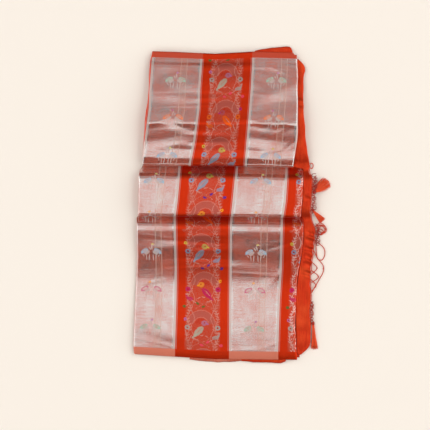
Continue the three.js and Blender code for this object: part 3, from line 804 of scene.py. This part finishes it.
def clothRelief(x, y, seed):
    # creases, then the cloth's own unevenness
    height = cloth["creaseShare"] * sum(ridge(item, x, y) for item in creases)
    for wide, long, shift, share in cloth["unevenness"]:
        height += share * uneven(x / wide, y / long, seed + shift)
    return height


def bandPlace(x, row):
    # x on the table to s in the weave
    _, redLeft, redRight, tissueRight = row
    beyond = 60
    stops = [redLeft - weave["tissueWide"], redLeft, redRight, tissueRight, tissueRight + beyond]
    period = weave["redWide"] + weave["tissueWide"]
    values = [-weave["tissueWide"], 0, weave["redWide"], period, period + beyond]
    if x < stops[0]:
        return values[0] + (x - stops[0])
    return float(np.interp(x, stops, values))


def makeFace(name, face, seed):
    along, line = surfaceLine(face)
    anchorY, anchorT = face["anchor"]
    # arc length where the surface last lies at or above the anchor's y
    start = max(i for i in range(len(line)) if line[i][0] >= anchorY)
    anchorAt = along[start] + (line[start][0] - anchorY)
    verts, uvs = [], []
    for i, (y, z, left, right) in enumerate(line):
        before, after = line[max(i - 1, 0)], line[min(i + 1, len(line) - 1)]
        dy, dz = after[0] - before[0], after[1] - before[1]
        size = math.hypot(dy, dz)
        ny, nz = dz / size, -dy / size
        left += cloth["ragged"] * uneven(along[i] / 34, seed, 0)
        right += cloth["ragged"] * uneven(along[i] / 34, seed, 9)
        section = foldSection(left, right, cloth["roll"], cloth["flap"], cloth["across"])
        bandRow = tableAt(face["bands"], y)
        for x, depth, flat in section:
            if depth < cloth["roll"]:
                depth -= clothRelief(x, y, seed)
            verts.append(place(*laid(x, y - ny * depth, z - nz * depth)))
            uvs.append((bandPlace(flat, bandRow) / 1000, (anchorT + along[i] - anchorAt) / 1000))
    item = meshFrom(name, verts, gridFaces(len(line), len(section)), materials["cloth"], uvs)
    finishLeaf(item)
    wide = (line[:, 3] - line[:, 2]).mean() + 2 * cloth["flap"] + cloth["turns"]
    return item, wide / 1000, float(along[-1]) / 1000


for seed, (name, face) in enumerate(faces.items()):
    item, wide, length = makeFace(name, face, seed * 11.0)
    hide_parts(face["node"])
    print(name, "sheet", round(wide, 3), round(length, 3))


# The plain leaf that carries the fringe. Columns: y, where it leaves the face, its edge, height
endLeaf = {
    "rows": [
        (347, 168, 184, 6.8), (334, 169, 195.8, 7.4), (321, 169, 198.9, 8.6), (312, 169, 196, 9.6),
        (275, 169, 194.7, 14), (250, 169, 194.7, 19.2), (228, 169, 195, 22.6), (207, 169, 197, 23.6),
        (186, 169, 198.6, 22.2), (163, 168, 200.2, 20), (148, 166, 202.5, 19.2), (136, 172, 204.6, 18),
        (127, 175, 206.5, 14.6), (118, 173.2, 207.8, 9.8), (110, 172.6, 207.9, 8), (106, 193.4, 207.4, 7.6),
        (101, 194, 207, 8.6), (95, 194.2, 208, 11.6), (88, 194.2, 212, 16), (80, 194.2, 213.4, 19),
        (60, 193.4, 212.4, 20.2), (35, 192.2, 210, 20), (15, 190.2, 209.2, 18), (4, 189.4, 210.2, 13),
        (-1, 189.4, 211, 9.6), (-5, 193.2, 211.8, 8), (-10, 194.8, 213, 7.8), (-18, 195.2, 216, 9.6),
        (-28, 195.2, 219.2, 11.4), (-38, 195.2, 219.6, 11.2), (-55, 194.6, 217.5, 9.8),
        (-77, 191.8, 215.6, 8.8), (-112, 186.4, 211.2, 7.6), (-139, 182.8, 209, 7.4),
        (-176, 179.4, 211, 7.2), (-205, 178.6, 209, 7), (-260, 179, 211.2, 7), (-286, 179.8, 207.5, 6.8),
        (-303, 181.4, 190, 6.6),
    ],
    "roll": 1.9,
    "flap": 14.0,
    "turned": 16,      # what the turned side adds to the flat width
    "across": 22,
    # where the edge is drawn up into small puckers: y, half length, height
    "puckers": [(-46, 10, 1.8), (-72, 9, 2.0), (-96, 8, 1.6), (-122, 10, 1.3), (44, 12, 0.8), (250, 14, 0.6)],
    "puckerLong": 2.9,
    "puckerLift": 2.4,
    "edgeUneven": (0.7, 21),    # height and length
    "surfaceUneven": (1.1, 12, 22),
}


def puckerAt(y):
    return sum(high * math.exp(-((y - centre) / half) ** 2) for centre, half, high in endLeaf["puckers"])


def makeEndLeaf():
    # the table's own columns are y, inner, edge, z; the smoothing takes y and z first
    points = [(y, z, inner, edge) for y, inner, edge, z in endLeaf["rows"]]
    along, line = smoothLine(points, cloth["along"])
    roll, pucker = endLeaf["roll"], endLeaf["puckerLong"]
    out, outLong = endLeaf["edgeUneven"]
    high, wide, long = endLeaf["surfaceUneven"]
    verts = []
    for y, z, inner, edge in line:
        drawn = puckerAt(y)
        edge += out * uneven(y / outLong, 3, 3) + 0.5 * drawn * math.sin(y / pucker)
        flap = min(endLeaf["flap"], edge - inner - 5)
        section = foldSection(inner, edge, roll, flap, endLeaf["across"], False)
        for x, depth, _ in section:
            reach = min(max((x - inner) / max(edge - inner, 1), 0), 1)
            lift = high * uneven(x / wide, y / long, 7)
            lift += endLeaf["puckerLift"] * drawn * reach * math.sin(y / pucker + x / 7)
            if depth > roll or x <= inner + 3:
                lift = 0.0
            verts.append(place(*laid(x, y, z - depth + lift)))
    item = meshFrom("endLeaf", verts, gridFaces(len(line), len(section)), materials["plainSilk"])
    finishLeaf(item)
    wide = float((line[:, 3] - line[:, 2]).mean() + endLeaf["turned"]) / 1000
    return item, wide, float(along[-1]) / 1000


item, wide, length = makeEndLeaf()
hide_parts("end_leaf")
print("endLeaf sheet", round(wide, 3), round(length, 3))


# All the folds below, layered at the edges. Columns: y, height under the face, height under the plain leaf
innerPack = {
    "rows": [
        (357, 6.8, 2.2), (346, 8.4, 2.6), (328, 10.2, 3.6), (300, 13, 6.2), (272, 17.8, 9.8),
        (250, 23.2, 14.6),
        (228, 27, 18.2), (207, 28, 19.2), (186, 26.8, 17.8), (165, 24.2, 15.8), (148, 23, 14.8),
        (137, 22.6, 13.8), (128, 19.8, 10.4), (122, 17, 6.8), (120.4, 2.8, 2.8), (103, 2.8, 2.8),
        (96, 8.6, 6), (88, 17.6, 11.2), (80, 22, 14.6), (68, 23.6, 15.8), (45, 23.8, 15.8), (25, 23, 14.8),
        (12.4, 21.4, 11.4), (10.2, 3.2, 2.8), (-7, 3.2, 2.8), (-14, 7.6, 4.2), (-22, 12, 5.8),
        (-36, 12.8, 6.8), (-55, 11, 5.4), (-80, 9, 4.4), (-101, 7.0, 3.5), (-126, 4.8, 3.0), (-146, 3.7, 2.8),
        (-165, 3.5, 2.8), (-205, 4.7, 2.8), (-240, 5.9, 2.8),
        (-284, 6, 2.8), (-309, 4.6, 2.4),
    ],
    "folds": [0.6, -1.8, 0.9, -0.6, 1.4, -2.6, 0.3],  # how far each fold stands in or out, from the table up
    "inset": 3.4,
    "bulge": 1.6,      # roundness of each fold
    "margin": 20,      # the folded sides
    "steps": 12,
}


def faceSides(y):
    for name in ("palluUpper", "palluMiddle"):
        nose = faces[name]["nose"]
        foot = nose["y"] - nose["reach"]
        if y > foot:
            return tableAt(faces[name]["rows"] + [(foot, 0, nose["left"], nose["right"])], y)[2:]
    return tableAt(faces["palluLower"]["rows"], y)[2:]


def foldedEdge(side, edge, height, y, seed):
    # a stack of round folds from the table up
    points = []
    each = height / len(innerPack["folds"])
    for k, out in enumerate(innerPack["folds"]):
        out += 0.9 * uneven(y / 40, k * 3.1, seed)
        for j in range(5):
            angle = -math.pi / 2 + math.pi * j / 4
            bulge = min(each / 2, innerPack["bulge"]) * math.cos(angle)
            points.append((edge + side * (out - innerPack["bulge"] + bulge),
                           each * (k + 0.5 + 0.5 * math.sin(angle))))
    return points


def makeInnerPack():
    rows, inset, margin, steps = (innerPack[name] for name in ("rows", "inset", "margin", "steps"))
    stations = sorted({float(row[0]) for row in rows} | set(np.arange(-306, 357, 4.0)), reverse=True)
    verts = []
    for y in stations:
        _, under, strip = tableAt(rows, y)
        left, right = faceSides(y)
        inner, edge = tableAt(endLeaf["rows"], y)[1:3]
        shoulder = min(right - 3, inner - 1)
        ring = foldedEdge(-1, left + inset, under, y, 1.0)
        ring += [(left + margin + (shoulder - left - margin) * i / steps, under) for i in range(steps + 1)]
        ring += [(shoulder + 0.6, strip)]
        ring += foldedEdge(1, edge - inset, strip, y, 5.0)[::-1]
        ring += [(edge - margin - (edge - left - 2 * margin) * i / steps, 0.0) for i in range(steps + 1)]
        verts += [place(*laid(x, y, z)) for x, z in ring]
    count, last = len(ring), len(stations) - 1
    quads = []
    for r in range(last):
        for c in range(count):
            a, b = r * count + c, r * count + (c + 1) % count
            quads.append((a, b, b + count, a + count))
    quads.append(tuple(range(count)))
    quads.append(tuple(reversed(range(last * count, (last + 1) * count))))
    return meshFrom("innerPack", verts, quads, materials["foldEdges"])


item = finishPiece(makeInnerPack(), "inner_folds", slot="orange_silk")
bpy.context.view_layer.update()
print("innerPack")


# Thin leaves of the hidden layers, which stand out unevenly at both ends
edgeLeaves = [
    # name, side, left, right, how far out at the left, middle and right, height, material
    ("edgeTopA", 1, -134, 174, 3.0, 1.0, 2.0, 2.9, "foldEdges"),
    ("edgeTopB", 1, -130, 170, 1.0, 3.4, 4.0, 4.4, "borderSilk"),
    ("edgeTopC", 1, -136, 168, 4.0, 2.0, 1.0, 8.6, "foldEdges"),
    ("edgeFootA", -1, -172, 176, 1.6, 2.6, 1.0, 2.6, "foldEdges"),
    ("edgeFootB", -1, -166, 172, 3.2, 4.6, 4.4, 7.2, "borderSilk"),
]
looseLeaves = [
    # node, where its hidden side lies, columns of x and where its edge lies, height, material
    ("top_leaf", 354.2, [(88, 362.2), (103, 365.6), (130, 369), (158, 371.6), (167, 370.6), (171, 360)],
     6.2, "plainSilk"),
    ("bottom_leaf_left", -308.0, [(-56, -318.4), (-34, -321.6), (5, -324.6), (44, -323.4), (66, -320.4)],
     4.0, "borderSilk"),
    ("bottom_leaf_right", -308.0, [(58, -321.6), (84, -324.4), (122, -325.4), (145, -326.8), (156, -322.6)],
     6.7, "plainSilk"),
]
packEnds = {1: 357, -1: -309}
hiddenDeep = 14  # how far a thin leaf reaches in under the layers


def leafPlate(name, left, right, edgeAt, startAt, height, material, seed, node=None):
    steps, deep = max(int((right - left) / 3), 8), 7
    verts = []
    for i in range(steps + 1):
        x = left + (right - left) * i / steps
        start = startAt(x)
        edge = edgeAt(x) + 0.5 * uneven(x / 13, seed, 1)
        for j in range(deep + 1):
            share = j / deep
            ripple = (0.3 + 0.5 * share) * uneven(x / 16, share, seed)
            z = height - 0.7 + ripple * 0.6 - 0.5 * share ** 2
            verts.append(place(x, start + (edge - start) * share, z))
    item = meshFrom(name, verts, gridFaces(steps + 1, deep + 1), materials[material])
    finishLeaf(item)
    span = sum(abs(edgeAt(x) - startAt(x)) for x in np.linspace(left, right, 20)) / 20
    if node:
        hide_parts(node)
    span / 1000


for name, side, left, right, a, b, c, height, material in edgeLeaves:
    def endAt(x):
        return laid(x, packEnds[side], 0)[1]

    def edgeAt(x):
        return endAt(x) + side * float(np.interp(x, [left, 0, right], [a, b, c]))

    def startAt(x):
        return endAt(x) - side * hiddenDeep

    leafPlate(name, left, right, edgeAt, startAt, height, material, len(name) + height)
for node, start, columns, height, material in looseLeaves:
    xs, ys = zip(*columns)
    leafPlate(node + "_silk", xs[0], xs[-1], lambda x: float(np.interp(x, xs, ys)), lambda x: start, height,
              material, height, node)
print("leaf edges")


# The fringe, with routes as on the solids
fringe = {
    "top": 114, "foot": -240,
    "stripWide": 2.0,
    # cords: radius of a ply, millimetres for a turn, plies
    "netCord": (0.6, 5.2, 2), "edgingCord": (0.62, 5.4, 3), "curlCord": (0.5, 4.4, 2),
    "spacing": 0.9, "edgingStep": 3.0,
    "stitch": [(-1.9, -0.6, 0.6), (-0.6, 0, 1.2), (0.9, 0.3, 0.5), (1.0, 0, -0.6)],
    "knotTurn": (1.3, 0.5, 1.0),
    "headRadius": 3.4,
    "strand": 0.5, "strands": 80, "narrowing": 0.35,
    "strandLow": (0.7, 4.2), "strandHigh": 3.6,   # ends from the table up, roots about the head's height
    "binding": (0.95, 0.55, 2.7),                 # pitch and radius of the thread, radius of the core
    # loose curled ends beside the edging: first y, last y, how far out, swing, turns, height
    "curls": [
        (90, 46, 6.0, 4.4, 7, -2), (84, 60, 9.5, 3.4, 5, -4), (62, 2, 5.4, 4.0, 9, -3),
        (40, 6, 9.4, 3.6, 6, -5), (-20, -62, 6.0, 3.6, 7, -2), (-36, -68, 9.6, 3.4, 5, -4),
        (-190, -236, 4.0, 2.6, 9, -1),
    ],
}
cordRoutes = [
    [(209, 112, 5.4), (214, 114, 5), (216.4, 108, 4), (213.4, 102, 4.4), (209.4, 104, 5.4)],
    [(214.6, 79, 16.6), (220, 75, 14.4), (215.6, 69, 16), (219.4, 63, 14.6), (213.6, 59.6, 17.4)],
    [(213.4, 45, 17.2), (219.6, 41, 14), (214.6, 35, 16), (219.4, 29, 13.4), (212.4, 23, 16)],
    [(221, -26, 8.6), (231, -21.6, 6), (244, -27, 3.6), (245, -36, 2.8), (236, -42, 3.4), (221.6, -41, 8)],
    [(222, -24, 7.6), (231, -17.6, 5), (240, -22, 4), (244.4, -29, 3.2), (239, -38, 3), (229, -35.6, 3.6),
     (226, -27.6, 5), (233, -23, 4.6), (240, -27, 3.6)],
    [(227, -31, 4.4), (236, -24, 4), (242.6, -34, 3), (234, -44, 2.6), (225.6, -38, 4), (229, -30, 5)],
    [(221.4, -35, 8.4), (233, -31, 5), (239, -37, 3.6), (228, -46, 4), (222.4, -58, 4)],
    [(222.4, -58, 4), (231, -64, 3), (240.6, -74, 2.4), (242, -88, 2), (236, -99, 2), (227.4, -98, 2.4),
     (223.6, -84, 3), (222.4, -58, 4)],
    [(217.4, -78, 6.6), (226, -95, 3.4), (238.6, -112, 2), (239, -124, 2), (230, -142, 2.4), (219.4, -160, 4),
     (212.8, -172, 5.4)],
    [(214, -104, 5.6), (225, -117, 3.2), (211.8, -131, 5.2)],
    [(212.4, -122, 5.4), (228, -136, 2.6), (212.4, -150, 5.2)],
    [(211.4, -142, 5.2), (222.6, -156, 3), (213, -168, 5.2)],
    [(211.6, -192, 5), (217, -199, 3.6), (212.6, -208, 4.6), (217, -217, 3.4), (213, -226, 4.6)],
]
knotPlaces = [(245, -31, 3), (222.4, -58, 4), (225, -117, 3.2), (228, -136, 2.6), (222.6, -156, 3),
              (239, -118, 2), (236, -42, 3.4)]
tassels = [
    # node, y of its root, height, turn, half spread, length, how early it spreads
    ("tassel_upper", 53, 15.6, 38, 19, 43, 3.4), ("tassel_middle", 14, 12.4, -48, 13, 34, 0.9),
    ("tassel_lower", -236, 4.4, -87, 7.6, 58, 0.5),
]


def crossways(path, i):
    # the two directions across a path at one of its points
    along = Vector(path[min(i + 1, len(path) - 1)] - path[max(i - 1, 0)]).normalized()
    side = along.cross(Vector((0, 0, 1)))
    side = side.normalized() if side.length > 0.05 else Vector((1, 0, 0))
    return side, side.cross(along)


def tube(path, radius, sides, verts, quads, narrowing=0.0):
    # adds a closed round strand along a path of points in millimetres
    base, last = len(verts), len(path) - 1
    path = [Vector(p) for p in path]
    for i, point in enumerate(path):
        side, over = crossways(path, i)
        size = radius * (1 - narrowing * (i / last))
        for k in range(sides):
            angle = 2 * math.pi * k / sides
            verts.append(place(*(point + side * size * math.cos(angle) + over * size * math.sin(angle))))
    for i in range(last):
        for k in range(sides):
            a, b = base + i * sides + k, base + i * sides + (k + 1) % sides
            quads.append((a, b, b + sides, a + sides))
    quads.append(tuple(base + k for k in reversed(range(sides))))
    quads.append(tuple(base + last * sides + k for k in range(sides)))


def twisted(path, cord, verts, quads):
    # a corded thread: plies wound round the path
    radius, turnLong, plies = cord
    total = arcLengths(path)
    for k in range(plies):
        wound = []
        for i, point in enumerate(path):
            side, over = crossways(path, i)
            angle = 2 * math.pi * (total[i] / turnLong + k / plies)
            wound.append(Vector(point) + (side * math.cos(angle) + over * math.sin(angle)) * radius * 0.9)
        tube(wound, radius, 5, verts, quads)


def makeFringe():
    verts, quads = [], []
    for route in cordRoutes:
        twisted(smoothLine(route, fringe["spacing"])[1], fringe["netCord"], verts, quads)
    # the edging: a twisted cord along the leaf, with a small stitch over it every few millimetres
    points = []
    for y in np.arange(fringe["top"], fringe["foot"] - 1, -fringe["edgingStep"]):
        _, _, edge, z = tableAt(endLeaf["rows"], y)
        points.append(laid(edge + 1.2 + 0.25 * math.sin(y / 5), y, z - 2.0))
    twisted(np.array(points), fringe["edgingCord"], verts, quads)
    for x, y, z in points[2:-2:2]:
        stitch = [(x + dx, y + dy, z + dz) for dx, dy, dz in fringe["stitch"]]
        tube(stitch, 0.24, 4, verts, quads)
    wide, deep, high = fringe["knotTurn"]
    for x, y, z in knotPlaces:
        rng = random.Random(int(x * 7 + y))
        for k in range(3):
            lean = rng.uniform(0, math.pi)
            ring = []
            for j in range(11):
                angle = 2 * math.pi * j / 10
                outX, outY = wide * math.cos(angle), deep * math.sin(angle)
                ring.append((x + outX * math.cos(lean) - outY * math.sin(lean),
                             y + outX * math.sin(lean) + outY * math.cos(lean),
                             z + high * math.sin(angle) + (k - 1) * 0.3))
            tube(ring, 0.5, 5, verts, quads)
    return meshFrom("fringeNet", verts, quads, materials["fringeCord"])


def makeCurls():
    verts, quads = [], []
    for first, last, out, swing, turns, drop in fringe["curls"]:
        path = []
        steps = turns * 14
        for i in range(steps + 1):
            share = i / steps
            y = first + (last - first) * share
            _, _, edge, z = tableAt(endLeaf["rows"], y)
            angle = 2 * math.pi * turns * share + first
            loop = 1 + 0.4 * math.sin(share * 9 + first)
            path.append((edge + out + swing * loop * math.sin(angle), y + 1.8 * loop * math.cos(angle * 1.31),
                         max(z + drop + 1.4 * math.cos(angle), 1.2)))
        twisted(np.array(path), fringe["curlCord"], verts, quads)
    return meshFrom("fringeCurls", verts, quads, materials["curlCord"])


def makeTassel(name, y, z, turn, spread, length, early):
    rng = random.Random(name)
    edge = tableAt(endLeaf["rows"], y)[2] + 0.3 + fringe["stripWide"]
    headX = edge + 0.3 + fringe["headRadius"]
    headY = laid(edge, y, 0)[1]
    c, s = math.cos(math.radians(turn)), math.sin(math.radians(turn))

    def fromHead(out, off, z):
        return (headX + c * out - s * off, headY + s * out + c * off, z)

    verts, quads = [], []
    halfWide = length * math.tan(math.radians(spread)) * 0.9
    for _ in range(fringe["strands"]):
        fan = rng.uniform(-1, 1)
        layer = rng.uniform(0, 1)
        reach = length * rng.uniform(0.9, 1.0) * (1 - 0.045 * early * fan * fan)
        start = rng.uniform(0.2, 1.8)
        low = fringe["strandLow"][0] + fringe["strandLow"][1] * layer
        high = z + (layer - 0.5) * fringe["strandHigh"]
        side = rng.uniform(-1.6, 1.6)
        curl = rng.uniform(-0.9, 0.9)
        path = []
        for j in range(7):
            share = j / 6
            off = side * (1 - share) + curl * math.sin(share * 3.6 + fan)
            off += fan * halfWide * (1 - math.exp(-early * share ** 1.2)) / (1 - math.exp(-early))
            drop = min(share ** 1.1 * 1.15, 1)
            path.append(fromHead(start + (reach - start) * share, off, high + (low - high) * drop))
        tube(path, fringe["strand"], 4, verts, quads, fringe["narrowing"])
    body = meshFrom(name + "_strands", verts, quads, materials["tasselSilk"])
    # the head: a rounded bundle bound with turns of thread
    verts, quads = [], []
    pitch, thread, core = fringe["binding"]
    for k in range(-3, 4):
        radius = 3.1 - 0.12 * abs(k) ** 1.6
        ring = []
        for j in range(15):
            angle = 2 * math.pi * j / 14
            off, high = radius * 0.96 * math.cos(angle), radius * 0.92 * math.sin(angle)
            ring.append(fromHead(k * pitch, off, z + high))
        tube(ring, thread, 6, verts, quads)
    tube([fromHead(out, 0, z) for out in (-3, 0, 3)], core, 10, verts, quads)
    # the cord that ties it to the edging
    tube([(edge - 3.4, headY + 0.6, z + 1.2), (edge - 1, headY + 0.4, z + 1.4), (headX - 1, headY, z + 0.6)],
         0.6, 6, verts, quads)
    head = meshFrom(name + "_head", verts, quads, materials["knotSilk"])
    return body, head


finishPiece(makeFringe(), "fringe_net", slot="fringe_cord")
finishPiece(makeCurls(), slot="fringe_cord")
for row in tassels:
    body, head = makeTassel(*row)
    finishPiece(body, row[0], slot="tassel_silk")
    finishPiece(head, slot="tassel_silk")
print("fringe and tassels")


# The table, a pale sheet far wider than the pack
tableTop = {
    "size": 9, "cuts": 8, "rough": 0.9,
    "light": (251, 242, 232), "dark": (248, 238, 227), "cloud": 0.1,
}


def addTable():
    bpy.ops.object.select_all(action="DESELECT")
    x, y, _ = place(0, 0, 0)
    bpy.ops.mesh.primitive_grid_add(x_subdivisions=tableTop["cuts"], y_subdivisions=tableTop["cuts"],
                                    size=tableTop["size"], location=(0, 0, 0))
    table = bpy.context.active_object
    table.name = "tableTop"
    table.data.name = "tableTop"
    for vertex in table.data.vertices:
        vertex.co.x += x
        vertex.co.y += y
    material, tree, shader = newMaterial("paleTable")
    grain = speckle(objectPlace(tree), 3.0)
    colour = blend(grain * tableTop["cloud"], linear(*tableTop["light"]), linear(*tableTop["dark"]))
    feed(shader, {"Base Color": colour, "Roughness": tableTop["rough"], "Specular IOR Level": 0.1})
    table.data.materials.append(material)


addTable()
bpy.context.view_layer.update()
print("done")
